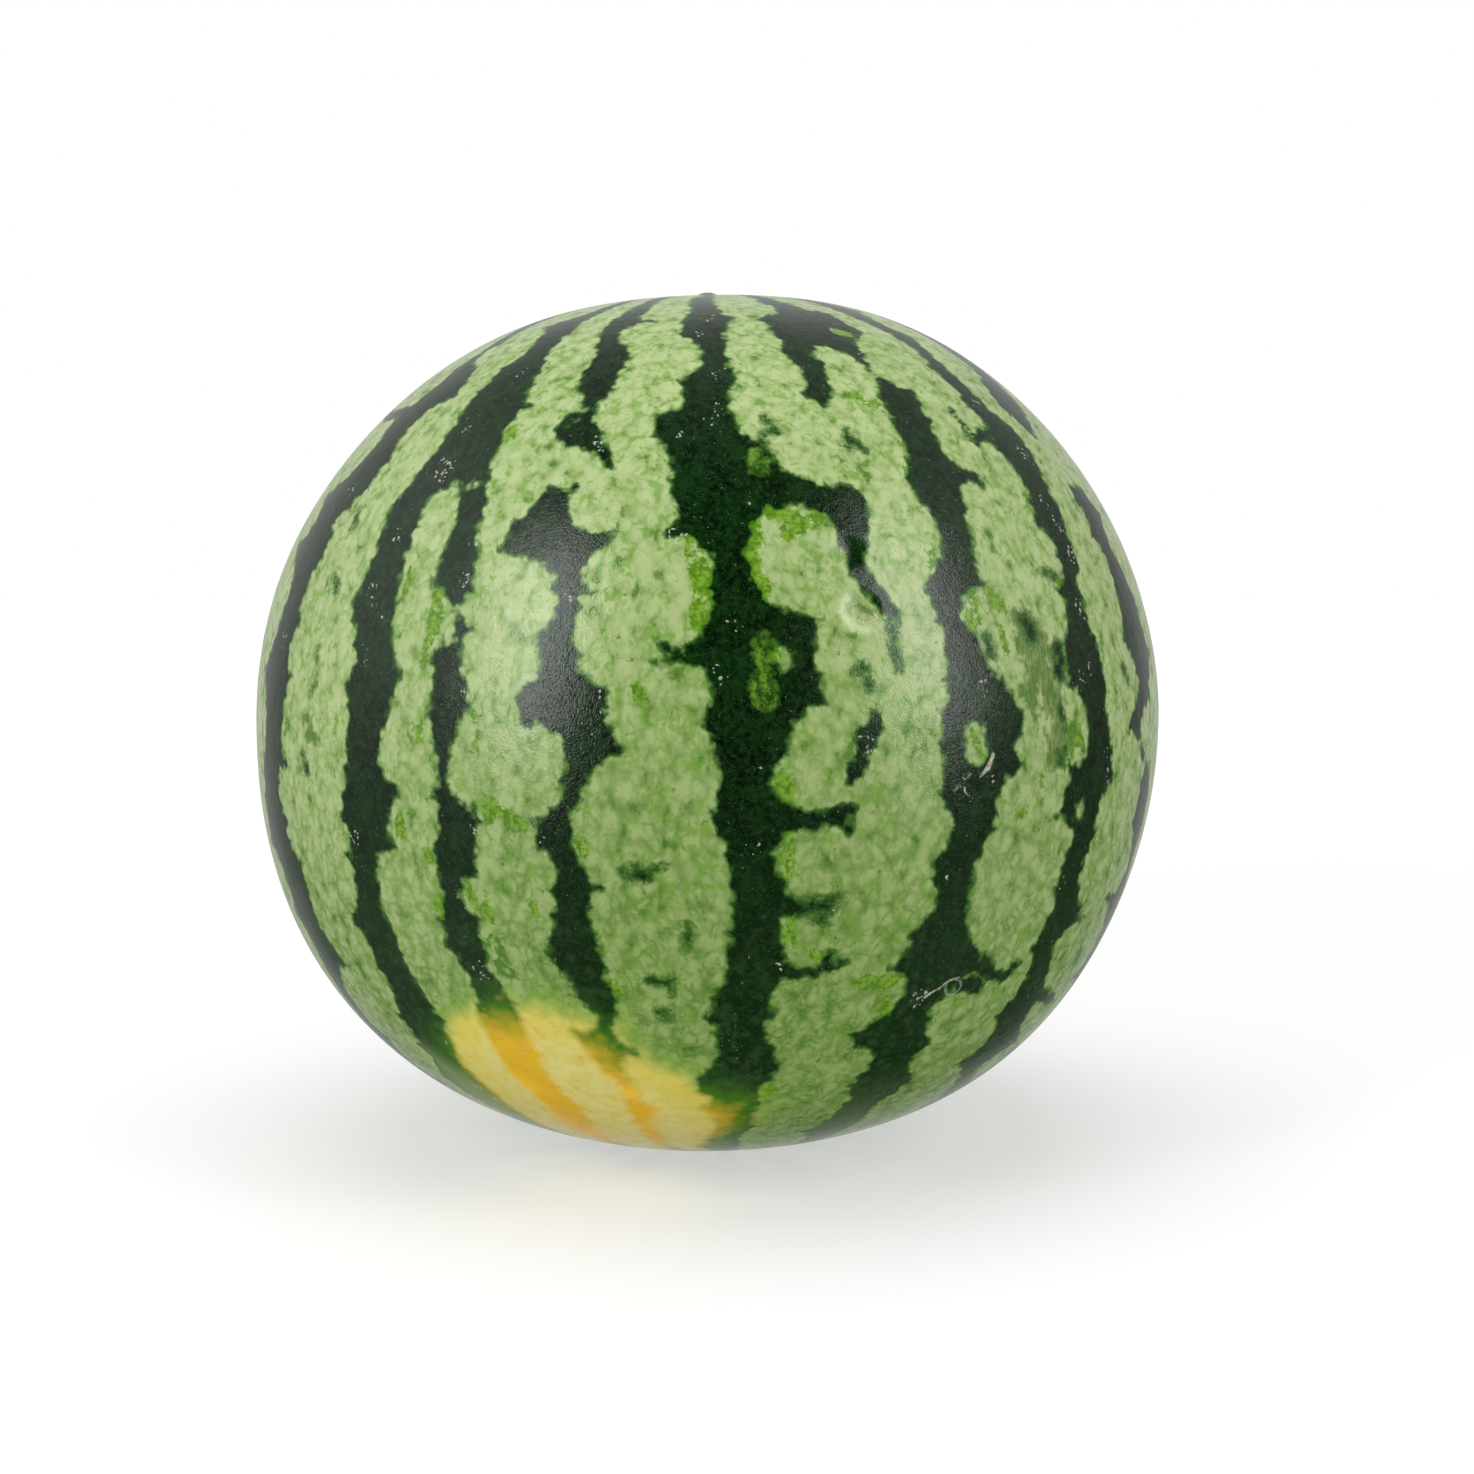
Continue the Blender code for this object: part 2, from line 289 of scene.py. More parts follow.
     (37, 9.4), (40, 10.2), (42, 10.2), (45.2, 10.6), (47, 6), (49.4, 5.2), (52.6, 7), (54.4, 6.4),
     (56.4, 9), (57.8, 14.6), (59.4, 11.6), (61, 11.8), (64.4, 11.6), (67, 4), (72, 2), (88, 5)],
    44: [(88, -6), (72, -3), (66, -.4), (60, 1.5), (54, 3.7), (50, 1.7), (45.2, 3), (42.6, 1.9),
     (40.4, 3.6), (37.6, 1.6), (35.6, 1.9), (32.2, 3.4), (29, 2.7), (27.6, 2.8), (25.8, 2.2), (21.2, 4.5),
     (18, 1.8), (15.6, 2.9), (12.6, 2), (11.4, .9), (8.6, 1), (6.8, 1.2), (5.4, 3.6), (.4, 4.8),
     (-1.6, 3.6), (-1.9, 1.6), (0, .3), (-2.4, .8), (-5, .7), (-7.7, -1.3), (-9.6, 2.4), (-12.4, 2.1),
     (-14, 1.3), (-16.2, .7), (-18, 1.6), (-21, .5), (-23.6, -.5), (-27.6, .9), (-30, -.4), (-32.8, -1.7),
     (-36.8, .3), (-40.6, -3.2), (-43, 1), (-47, 4), (-54, 6), (-88, 8), (-88, 16), (-60, 18), (-52, 16),
     (-47, 10), (-43, 6.8), (-40, 13.4), (-36, 8), (-33, 6.8), (-31.4, 9), (-29.4, 6.4), (-27, 6),
     (-24, 4.6), (-22, 6), (-21.2, 10.4), (-19.4, 7.6), (-16, 5.9), (-12.6, 6.2), (-10, 8.1), (-8.8, 7.2),
     (-6, 8.6), (-4.6, 11.1), (-1, 10.2), (3, 9), (6, 9.1), (9, 8.3), (10.4, 8.5), (12, 8.3), (16, 6.6),
     (20.6, 8.3), (24, 8.5), (29, 9.2), (32.4, 9.5), (35.4, 11), (39.4, 10.3), (42.4, 7.9), (46, 7.5),
     (50, 7), (54, 8), (57.6, 10.7), (63, 7), (66, 12), (72, 8), (88, 6)],
    57: [(88, 9), (72, 9), (58, 9), (49.4, 6), (48, 2.8), (45, 1.5), (42.6, 0), (40, 2.4), (37.8, 3.4),
     (37.8, 3.9), (39.6, 5), (42, 8.5), (44.6, 11.4), (49, 14), (58, 19), (72, 19), (88, 19)],
    61: [(31.4, 0), (29, -1), (26.6, .1), (24.3, -1.6), (22, .7), (18, .5), (14, 0), (11.2, -1.1),
     (6.8, 2.5), (3.6, 1), (2.4, -1.3), (.7, -2.2), (-.4, 2), (-3.6, 5.4), (-5.4, 4), (-8, 3.8),
     (-10.2, 2.4), (-13, 4.6), (-17, 5.5), (-19.2, -1), (-21, 1.6), (-26, 4), (-30.6, 0), (-33, 5),
     (-40, 5), (-50, 9), (-88, 13), (-88, 23), (-50, 17), (-33, 12), (-26, 9), (-20, 10.4), (-16, 8),
     (-10.6, 9), (-7, 10), (-3.8, 8.5), (-2, 3.6), (1, 2.8), (3, 4.4), (4, 7.5), (7, 8.3), (9.4, 11),
     (12, 9), (16, 8.3), (20.4, 6), (24, 5), (27.4, 7.6), (30, 5.3), (31.4, 4.6)],
}
front_stripes = [
    [(up, meridian + right) for up, right in outline] for meridian, outline in STRIPES.items()
]
print(len(front_stripes), "stripes at the front")


# %% [markdown]
# ## Branches, bridges and islands
# Smaller marks are strokes of a round brush: a chain of (degrees up, degrees round, half width in
# millimetres). Dark and speckled strokes are added to the stripes, and pale and olive ones are cut
# out of them. Deep ones only colour the pale rind.

# %% Dark and pale strokes
DARK_STROKES = (
    [(28.9, 12.8, 2.6), (28, 17, 4.8), (25, 17.4, 3.6), (22, 17.2, 2.2), (20, 17.4, 1.7), (18, 18.9, 1.7),
     (15.8, 20.4, 1.6), (14.8, 21.4, .6)], [(16, 20.2, 1.1), (13.6, 20.6, .7)],
    [(-6.2, 8, 2.6), (-6.4, 10.6, 1.6), (-6.1, 12.6, 1.5), (-5.8, 14, 1.7), (-5, 15.3, .8)],
    [(-6, 14, 1.4), (-7.5, 15.6, .7)], [(-15.4, 8, 2.8), (-16.1, 11, 1.4)],
    [(-22.9, 8, 1.7), (-23.5, 11, 1.1), (-22.9, 14, 1.1), (-22.3, 15.7, .7)],
    [(-22.8, 14, .8), (-20.7, 13.7, .5)],
    [(-24.2, 35, 2.2), (-26, 37.4, 1.5), (-26.5, 40, 1.2), (-25, 41.4, 1.2)],
    [(-27, 35.6, 2), (-26.6, 33, 2)], [(40.2, -19.8, 1.2), (38.9, -21, 1.2), (37, -20.4, 1.1)],
    [(36.4, -15.6, 1.2), (33, -12.6, .6)],
    [(38.4, 45.4, 1.8), (37, 42, 1), (40, 41.4, .5), (42.2, 41.2, .2)],
    [(43, -61.5, 1.6), (42.6, -68, 1.6), (43.4, -75, .9)], [(-31, 51, 1.8), (-33, 57.5, 1.2)],
    [(-42.4, 60, 2.6), (-46, 61, 3.6), (-50, 58, 4.2)],
    [(4.4, 18, 1.3), (3.4, 17.4, 1.2), (2.4, 17.2, 2.3), (.8, 16.6, 1.3), (-.9, 15.8, 1.7),
     (-2.1, 15.1, .9)], [(11, -2.4, 1.3), (11.6, -4, .7), (13, -5.8, .3)], [(11, -3, .8), (10.3, -5.6, .3)],
)
SPECKLED_STROKES = (
    [(14, 20.5, .8), (12.4, 20.6, .9), (11.4, 20.6, .7), (9.4, 21, .4)],
    [(10, 16.9, .6), (8.6, 17, .9), (7.8, 17.3, .6)], [(9.4, 15.8, .3), (9, 17, .5)],
    [(-15.6, 11, 2), (-15.6, 13, 1.4), (-14.8, 14.4, .9)], [(-16.6, 12, 1.2), (-17.5, 12.8, .8)],
    [(-11.8, -7.6, 1.7), (-12, -6.8, 1.7)], [(-12.3, -8.6, .4), (-11.4, -9.4, .2)],
    [(-11.6, -6, .5), (-11, -4.6, .2)], [(-24.2, -7, .7), (-24.3, -4.4, .9)],
    [(-24, -4.6, .8), (-25.6, -4.4, .5)], [(-17.6, -2.4, .5), (-20, -2.5, .6)],
    [(-28, -5.7, .6), (-29.2, -5, .6)], [(36.5, 20, 1.1), (38.6, 19.9, .5)],
    [(36.5, 20, 1.1), (35.4, 21.7, .5)], [(36.5, 20, 1.1), (35.3, 18.8, .5)],
    [(40, 8.4, .6), (38, 9.1, 1.2), (37.4, 7.8, .8)], [(19.4, -52, .5), (17.8, -50, .7)],
    [(-1.4, -54, .5), (-3, -53, .7)], [(20, 44.4, .7), (19.4, 46, 1.1)], [(11, 44, 2.2), (8.6, 43.8, 2.2)],
    [(14.8, 39, 1.5), (12.8, 39.6, 1.9)], [(4.4, 43.4, .8), (2.4, 44, .9)],
    [(-.4, 43, .5), (-1.4, 43.4, .5)], [(12.6, 32.8, 1), (10.8, 33.2, 1)], [(8.4, 58.4, .7), (7, 59.6, .6)],
    [(-26, 57.6, .7), (-28, 58.4, .6)], [(7, -51.4, .4), (5.8, -52.4, .5)],
    [(27.6, -52, .5), (25.6, -51.4, .8)],
)
PALE_STROKES = (
    [(11, 8.1, 2.6), (10.4, 8.2, 2.5)], [(2.3, 30.2, 3.2), (.2, 30.5, 3.1)],
    [(16.6, 32, 2.6), (14.4, 31.6, 2.8)], [(57.6, 31, 2.4), (57.2, 32, 2.4)],
    [(-7, 47.5, 1.8), (-7.8, 47.6, 1.6)], [(15.8, -30.2, 1.7), (12.6, -29.8, 1.7)],
    [(-43, 51, 2.2), (-43, 54, 2.4)],
)
OLIVE_STROKES = (
    [(34.5, 6.2, 1.4), (32.7, 6.4, 1.9)], [(12.9, 5.9, 1.1), (11.2, 5.6, 1.3)],
    [(8.9, 5.6, 1.9), (6.8, 6, 2.4)],
)
DEEP_STROKES = (
    [(-19.4, -25.4, 1.6), (-22.6, -24.8, 3), (-25, -24, 2.2)], [(12.6, 32.4, 1.4), (11.4, 33, 1.2)],
    [(-20.4, -51.6, .6), (-24, -50.6, 1)],
)
print(len(DARK_STROKES), "dark strokes and", len(PALE_STROKES), "pale ones")


# %% [markdown]
# ## The far side
# The other half of the fruit is drawn by a rule with a fixed seed. Each stripe wanders a little about
# its meridian, swells and narrows, and has teeth and lobes at uneven steps. The result is the same
# kind of outlines and strokes as at the front.

# %% Grow the stripes of the far side
FAR_SEED = 11
FAR_MIDDLES = (90, 108, 128, 147, 168, 187, 207, 228, 247, 269)
FIRST_TOOTH_UP, LAST_TOOTH_UP = 72.0, -74
LONG_TOOTH_CHANCE, LONG_TOOTH = 0.12, 2.5
BRANCHES_PER_STRIPE = 3
dice = np.random.default_rng(FAR_SEED)


def grown_edge(middle, half_width, side):
    """Teeth and lobes from the stem down, on side -1 (left) or 1 (right)."""
    up, tooth = FIRST_TOOTH_UP, True
    edge = [(88, middle + side * 4), (up, middle + side * half_width * 0.8)]
    wave, swell = dice.uniform(0, 6.3, 2)
    while up > LAST_TOOTH_UP:
        up -= dice.uniform(1.1, 3.6)
        slimness = math.cos(math.radians(up))
        drift = 1.6 * math.sin(up / 13 + wave)
        width = half_width * (1 + 0.25 * math.sin(up / 9 + swell)) * (0.8 + 0.2 * slimness)
        reach = dice.uniform(0.4, 2.4) if tooth else -dice.uniform(0.2, 1.5)
        if tooth and dice.random() < LONG_TOOTH_CHANCE:
            reach += LONG_TOOTH
        edge.append((up, middle + drift + side * (width + reach / slimness ** 0.5)))
        tooth = not tooth
    edge.append((-88, middle + side * 4))
    return edge


def grown_branch(middle, half_width):
    up, side = dice.uniform(-45, 50), dice.choice((-1, 1))
    slope = dice.uniform(-3, 3)
    reach = half_width + dice.uniform(3, 6.5)
    thick = dice.uniform(1.1, 2.0)
    return [
        (up, middle + side * half_width * 0.6, thick + 0.9),
        (up + slope * 0.6, middle + side * reach * 0.8, thick),
        (up + slope, middle + side * reach, thick * dice.uniform(0.5, 1.4)),
    ]


far_stripes, far_branches, far_islands = [], [], []
for middle in FAR_MIDDLES:
    half_width = dice.uniform(3.2, 5.2)
    far_stripes.append(grown_edge(middle, half_width, -1) + grown_edge(middle, half_width, 1)[::-1])
    far_branches += [grown_branch(middle, half_width) for _ in range(BRANCHES_PER_STRIPE)]
    up, size = dice.uniform(-40, 45), dice.uniform(1.2, 2.4)
    far_islands.append([(up, middle - 1, size), (up - 1.2, middle + 0.6, size)])
    up, beside = dice.uniform(-45, 45), middle + dice.choice((-1, 1)) * 9.5
    far_branches.append([(up, beside, dice.uniform(0.6, 1.7)), (up - 1.5, beside + 0.8, 0.6)])
print(len(far_stripes), "stripes on the far side")


# %% [markdown]
# ## From edges to a field
# A shader can't read a drawing, but it can read a number on each point of the mesh. The number used
# here is the distance in millimetres to the nearest stripe edge, positive in the pale rind and
# negative in the dark. Unlike a mask, a distance stays sharp between the points, and the shader can
# move the edge by adding to it. Lobes come out round and teeth pointed, because each curve
# leaves a tooth steeply and arrives at a crest along the edge.

# %% Draw the edges as curves
BALL = 1000 * HALF_WIDTH * 0.98  # the radius, in millimetres, that turns angles into lengths
MM_PER_DEGREE = BALL * math.pi / 180
CURVE_STEP = 0.3
LOBE_ROUNDNESS, BAY_DEPTH = 0.8, 0.14
SCALLOP_LENGTHS, SCALLOP_BULGE, SCALLOP_SINK = (3.2, 7.5), 0.14, 0.35
TINY = 1e-9


def bezier(points, steps):
    share = np.linspace(0, 1, steps, endpoint=False)[:, None]
    while len(points) > 1:
        points = [a + (b - a) * share for a, b in zip(points[:-1], points[1:])]
    return points[0]


def cross(a, b):
    return a[0] * b[1] - a[1] * b[0]


def lobed_outline(corners):
    """A closed outline with pointed teeth and round lobes, the dark being on its left hand."""
    corners = [np.array(corner, float) for corner in corners]
    count, pieces = len(corners), []
    for index in range(count):
        up = np.clip(corners[index][0], -80, 80)
        scale = np.array([1.0, math.cos(math.radians(up))]) * MM_PER_DEGREE
        before, start, end, after = (
            corners[(index + step) % count] * scale for step in (-1, 0, 1, 2)
        )
        chord = end - start
        length = np.linalg.norm(chord)
        # A corner is (up, round), so the turn's sign is the other way round than on paper.
        start_tooth = cross(start - before, chord) < 0
        end_tooth = cross(chord, after - end) < 0
        along_start = (end - before) / (np.linalg.norm(end - before) + TINY)
        along_end = (after - start) / (np.linalg.norm(after - start) + TINY)
        if start_tooth and end_tooth:
            toward_dark = np.array([-chord[1], chord[0]])
            curve = [start, (start + end) / 2 - toward_dark * BAY_DEPTH, end]
        elif start_tooth:
            curve = [start, end - along_end * chord.dot(along_end) * LOBE_ROUNDNESS, end]
        elif end_tooth:
            curve = [start, start + along_start * chord.dot(along_start) * LOBE_ROUNDNESS, end]
        else:
            curve = [start, start + along_start * length / 3, end - along_end * length / 3, end]
        pieces.append(bezier(curve, max(3, int(length / CURVE_STEP))) / scale)
    return np.concatenate(pieces)


def scalloped(outline, seed):
    """Breaks long lobes into smaller ones, which bulge towards the dark."""
    spin = np.random.default_rng(seed)
    slimness = np.cos(np.radians(outline[:, 0]))
    flat_outline = np.stack([outline[:, 1] * slimness, outline[:, 0]], -1) * MM_PER_DEGREE
    step = np.roll(flat_outline, -1, 0) - np.roll(flat_outline, 1, 0)
    length = np.linalg.norm(step, axis=1) + TINY
    run = np.cumsum(length / 2)
    knots = np.cumsum(spin.uniform(*SCALLOP_LENGTHS, int(run[-1] / 3)))
    cell = np.searchsorted(knots, run)
    knots = np.concatenate([[0], knots])
    width = knots[cell + 1] - knots[cell]
    bulge = SCALLOP_BULGE * width * np.sin(math.pi * (run - knots[cell]) / width) ** 0.8
    into_dark = np.stack([-step[:, 1], step[:, 0]], -1) / length[:, None]
    flat_outline += into_dark * (bulge - SCALLOP_SINK)[:, None]
    flat_outline /= MM_PER_DEGREE
    return np.stack([flat_outline[:, 1], flat_outline[:, 0] / slimness], -1)


# %% Distance from every point to the stripes
SEAM = -76.5  # degrees round where the map is cut, between two stripes
NEAR_POLE = 78
REACH = 16.0
ups = np.degrees(np.arcsin(np.clip(directions[:, 2], -1, 1)))
rounds = np.degrees(np.arctan2(directions[:, 0], -directions[:, 1]))
rounds = np.where(rounds < SEAM, rounds + 360, rounds)


def is_inside(outline, up, around):
    """Counts the outline's crossings on the way round from each point."""
    after = np.roll(outline, -1, 0)
    inside = np.zeros(len(up), bool)
    for (up_a, round_a), (up_b, round_b) in zip(outline, after):
        if up_a != up_b:
            between = (up_a > up) != (up_b > up)
            crossing = round_a + (up[between] - up_a) * (round_b - round_a) / (up_b - up_a)
            inside[between] ^= around[between] < crossing
    return inside


def outline_field(outline, reach=REACH):
    """Signed distance in millimetres to a closed outline, negative inside it."""
    field = np.full(len(ups), float(reach))
    tree = KDTree(len(outline))
    for index, spot in enumerate(BALL * towards(outline[:, 1], outline[:, 0])):
        tree.insert(spot, index)
    tree.balance()
    low, high = outline[:, 1].min(), outline[:, 1].max()
    off = np.abs((rounds - (low + high) / 2 + 180) % 360 - 180) - (high - low) / 2
    beside = off * np.cos(np.radians(ups)) < reach / MM_PER_DEGREE
    near = np.nonzero(beside | (np.abs(ups) > NEAR_POLE))[0]
    gap = np.array([tree.find(spot)[2] for spot in BALL * directions[near]])
    inside = is_inside(outline, ups[near], rounds[near])
    field[near] = np.minimum(np.where(inside, -gap, gap), reach)
    return field


def stroke_field(stroke):
    """Distance in millimetres to a chain of round-ended strokes, negative inside them."""
    field = np.full(len(ups), 1e3)
    spots = [(BALL * towards(around, up), size) for up, around, size in stroke]
    here = BALL * directions
    for (start, start_size), (end, end_size) in zip(spots[:-1], spots[1:]):
        along = end - start
        share = np.clip((here - start) @ along / along.dot(along), 0, 1)
        gap = np.linalg.norm(here - start - share[:, None] * along, axis=1)
        field = np.minimum(field, gap - start_size - share * (end_size - start_size))
    return field


stripe = np.full(len(ups), REACH)
for seed, corners in enumerate(front_stripes + far_stripes):
    stripe = np.minimum(stripe, outline_field(scalloped(lobed_outline(corners), seed)))
for stroke in [*DARK_STROKES, *SPECKLED_STROKES, *far_branches]:
    stripe = np.minimum(stripe, stroke_field(stroke))
for stroke in [*PALE_STROKES, *OLIVE_STROKES, *far_islands]:
    stripe = np.maximum(stripe, -stroke_field(stroke))
print("dark share of the rind:", round(float((stripe < 0).mean()), 3))


# %% [markdown]
# ## Soft areas
# Some colours come and go without an edge: bright young-looking green beside a few stripes, a rubbed
# olive patch, deep green dabs, and clusters of corky flecks. Each is a soft mask from 0 to 1, painted
# with the same brush. The yellow ground spot, where the fruit lay, is an outline like the stripes.

# %% Bright, rubbed and flecked areas
BRIGHT_STROKES = (
    [(23.8, -.9, 3), (19, -.7, 2.8), (17.6, .2, 3.6), (14.6, -.9, 3)],
    [(25.6, 5.4, 2.4), (21, 5, 2), (18, 6, 2.2)], [(27, 7.4, 2.2), (26.6, 10.4, 1.6)],
    [(26.8, 13.2, 2.4), (24.4, 9.4, 1.8)], [(-1.6, 7.6, 1.6), (-4, 8.4, 2)],
    [(-8, 8.4, 1.8), (-12, 8.8, 2.2)], [(-16, 9, 1.6), (-19, 9, 2)], [(-21, 12, 1.8), (-21.4, 13.6, 1.6)],
    [(-25, 18.4, 2), (-25.4, 22.8, 2)], [(-28, 21.6, 2), (-29, 22.4, 2)],
    [(44, 22.8, 1.6), (42.4, 26.4, 1.8)], [(33.6, 27.6, 2), (32.4, 27.2, 1.8)],
    [(-5.4, -24, 1.8), (-6.4, -24, 1.6)], [(-9, -13.4, 1.8), (-10, -13, 1.6)],
    [(-24.4, -11, 1.4), (-25.6, -10.6, 1.6)], [(42, -42.4, 1.8), (41, -42, 1.6)],
    [(38.4, -29, 1.8), (37, -29, 1.6)], [(1.6, 46.8, 2.2), (.6, 46.4, 2)],
    [(17.6, 31.8, 2), (13.6, 31, 2.6)], [(18.2, 47, 1.6), (17, 47, 1.6)],
    [(3.4, -33, 1.4), (2.4, -33, 1.6)], [(12.2, -32.4, 2), (10.4, -32.8, 1.6)],
    [(17.6, -32.2, 2), (13.4, -32, 2)], [(1.6, -58.4, 2), (.8, -58.8, 1.6)],
    [(34.6, 6.3, 2.6), (32.2, 6.3, 2.6)], [(12.6, 6.6, 1.6), (10.6, 7, 1.6)],
    [(8.8, 6, 3.2), (6.6, 5.8, 3.2)], [(2.8, 29.6, .9), (-.6, 31.6, 1.2)],
    [(57.6, 31, 2.4), (57.2, 32, 2.4)], [(-36, 2, 1.6), (-38, 1, 1.6)], [(-7, -36.4, 1.6), (-9, -36, 1.6)],
    [(-32.6, 23, 1.6), (-35, 24.6, 1.6)], [(4.6, 27, 1.6), (2.8, 26.6, 1.6)],
    [(29.4, 46.2, 1.4), (27.6, 46, 1.4)], [(-10.7, -32.4, 1.2), (-12, -32.1, 1.2)],
    [(-15.4, -31.9, 1.2), (-17.6, -31.6, 1.6)], [(-14, -27.4, 1), (-16, -27.2, 1.2)],
    [(-15, -25.4, 1.1), (-18, -25.2, 1.3)], [(-15.8, -19.3, 1.6), (-16.4, -19.2, 1.4)],
    [(5, -25.8, .9), (.5, -25.4, 1.1)], [(3.6, -33.1, 1), (1.4, -32.9, 1)],
    [(-.6, -22.6, .9), (.4, -22.4, .9)], [(-5, -31.9, .9), (-6, -31.9, .9)],
    [(-4.6, -24, 1.4), (-5.6, -22.4, 2), (-7, -20.4, 1.8)], [(20.5, -37.4, 1.2), (17.5, -37.2, 1)],
    [(7.6, -7.2, 1.4), (6.8, -7, 1.3)], [(-6, -.2, 1), (-7, -.2, 1)], [(13.5, 35.2, 1.4), (11, 35.5, 1.6)],
    [(2.5, 45.6, 1.6), (-1, 45.4, 1.8)], [(-3, 40.2, .9), (-6, 40, .9)],
    [(17.6, 34.2, 1.8), (15.8, 35.6, 1.6)], [(-40.8, 9, 2.2), (-42.4, 8.6, 2.2)],
    [(-5.6, 38.4, 1.4), (-7, 37.2, 1.4)], [(22.6, 27.4, 1.6), (20.6, 26.6, 1.4)],
)
RUBBED_STROKES = (
    [(15, 38.6, 3.4), (11.5, 39.8, 6.4), (7, 40.8, 7), (2.4, 42.2, 5), (-1.4, 43, 3)],
    [(9.8, 43.6, 2), (6, 43.4, 1.6)], [(3, -53, 1.6), (1, -51.6, 2)],
)
HEALED_STROKES = ([(17.2, 15.6, 1), (15.6, 15, 1.4), (14.1, 16, 1.5), (13.8, 17.8, 1)],)
# Painted shade: a darker stroke in the pit of the second scar.
SCAR_PIT_SHADE_STROKES = ([(16.4, 17, .8), (15.7, 18.4, .9)],)
MELLOW_STROKES = ([(-38, -47, 1), (-44, -44, 6), (-50, -43, 9), (-62, -44, 14)],)
# Clusters of flecks, listed by their half width.
FLECKS = {
    1.2: [(-1.6, 32.5)],
    1.3: [(38, -4), (-47.6, -39.1), (-35.3, -40)],
    1.4: [(24, -28.8), (-29.8, -24.1), (-39.3, -39.9), (-15.5, 14.3), (-12, 27), (14.8, 2.5)],
    1.5: [(16, -40.3), (11, -42.5), (7, -27), (29, 5), (9.5, 1.3), (-22, 8), (-1.2, 53), (52.3, 31)],
    1.6: [(40, -38.3), (49, -34.5), (-7.3, -26.5), (39.6, .5), (18.5, -15.5), (7, -11.5), (3.5, -13),
     (0, 5), (-44.8, -41.6), (12, 14), (-34, 4)],
    1.8: [(-14.7, -29), (-7.8, 4.3), (7.5, 31.5), (-3.8, 53.5), (-15, 45.5), (-10, -44), (44, 50)],
    2: [(25, -41.5), (18, -43), (-23.5, -28), (-8.5, -18), (36.5, -14.7), (41.5, 1.3), (-3.2, 28.6),
     (29, 50), (26, 51), (22.4, 51.6), (20, 52), (15.8, 49.5), (9, 49.5), (8, 47.3), (-29.5, 48),
     (-34.4, -25.1), (62, 0), (57, -2), (48, 2), (31, -58), (12, -62), (36, 52)],
    2.2: [(20, -29.2)],
    2.6: [(24.5, -3.6), (2.7, 17), (-27.5, 27)],
    3.4: [(33.5, -38)],
}
FAR_FLECKS, FAR_BRIGHTS = 46, 30
clusters = [(*place, size) for size, places in FLECKS.items() for place in places]
for _ in range(FAR_FLECKS):
    clusters.append((dice.uniform(-60, 65), dice.uniform(84, 278), dice.uniform(1.2, 2.8)))
fleck_strokes = [[(up, at, size), (up - 1.2, at + 0.4, size * 0.8)] for up, at, size in clusters]
for _ in range(FAR_BRIGHTS):
    up, beside = dice.uniform(-40, 50), dice.uniform(86, 276)
    end = (up - dice.uniform(1, 5), beside + dice.uniform(-1, 1), 2)
    BRIGHT_STROKES += ([(up, beside, 1.8), end],)


def soft_mask(strokes, softness, wider=0.0):
    """1 well inside the strokes, 0 well outside, with a slope of this many millimetres."""
    mask = np.zeros(len(ups))
    for stroke in strokes:
        mask = np.maximum(mask, np.clip((wider - stroke_field(stroke)) / softness + 0.5, 0, 1))
    return mask


# %% The ground spot
GROUND_REACH = 30
GROUND_OUTLINE = [
    (-42, -42.4), (-46, -42.8), (-52, -44), (-60, -46), (-66, -26), (-66, -12), (-62, 0), (-56, 5),
    (-50, 7.6), (-46, 8), (-43.2, 6), (-41.6, 3), (-40.6, -0.4), (-38, -2.4), (-36.4, -6), (-34, -10),
    (-31, -12.4), (-29.4, -16), (-28.2, -21), (-28, -26), (-28.8, -31), (-31, -35), (-34.6, -38.6),
    (-38, -41),
]
ground = -outline_field(lobed_outline(GROUND_OUTLINE), GROUND_REACH)
print("ground spot covers", round(float((ground > 0).mean()), 3), "of the rind")

# %% Store every layer on the mesh
FAR = 60.0
off_axis = BALL * np.hypot(directions[:, 0], directions[:, 1])
on_top = directions[:, 2] > 0
# Painted shade: a soft patch facing the front and a little down, where the pale rind is made darker and
# greener than at the sides.
facing = np.degrees(angle_between(directions, towards(4, -26)))
layers = {
    "stripe": stripe,
    "ground": ground,
    "front_shade": np.clip(1.3 - facing / 44, 0, 1),
    "bright": soft_mask(BRIGHT_STROKES, 1.6),
    "rubbed": soft_mask(RUBBED_STROKES, 5.0),
    "ragged": soft_mask(SPECKLED_STROKES + OLIVE_STROKES, 2.5, wider=1.5),
    "olive": soft_mask(OLIVE_STROKES, 2.2, wider=0.9),
    "deep": soft_mask(DEEP_STROKES, 3.0),
    "mellow": soft_mask(MELLOW_STROKES, 9.0),
    "flecked": soft_mask(fleck_strokes, 2.0),
    "healed": soft_mask(HEALED_STROKES, 2.6),
    "scar_pit_shade": soft_mask(SCAR_PIT_SHADE_STROKES, 1.4),
    "scab": soft_mask(SCABS, 0.6),
    "stem_gap": np.where(on_top, np.minimum(off_axis, FAR), FAR),
    "blossom_gap": np.where(on_top, FAR, np.minimum(off_axis, FAR)),
    "ring_gap": np.minimum(BALL * angle_between(directions, towards(31.6, -26.9)), FAR),
}
for name, values in layers.items():
    layer = rind_mesh.attributes.new(name, "FLOAT", "POINT")
    layer.data.foreach_set("value", values.astype(np.float32))
print("layers on the rind:", list(layers))


# %% [markdown]
# ## Writing shaders as sums
# Materials are node trees, but a tree of hundreds of nodes is hard to read. The small class below
# wraps a socket, so that an expression such as 1 - mask * 0.5 adds its own Math nodes.

# %% A socket that does arithmetic
def feed(socket, value):
    """Links a value to a socket, or sets the socket to a plain number or vector."""
    if isinstance(value, Value):
        value.tree.links.new(value.socket, socket)
    else:
        socket.default_value = value


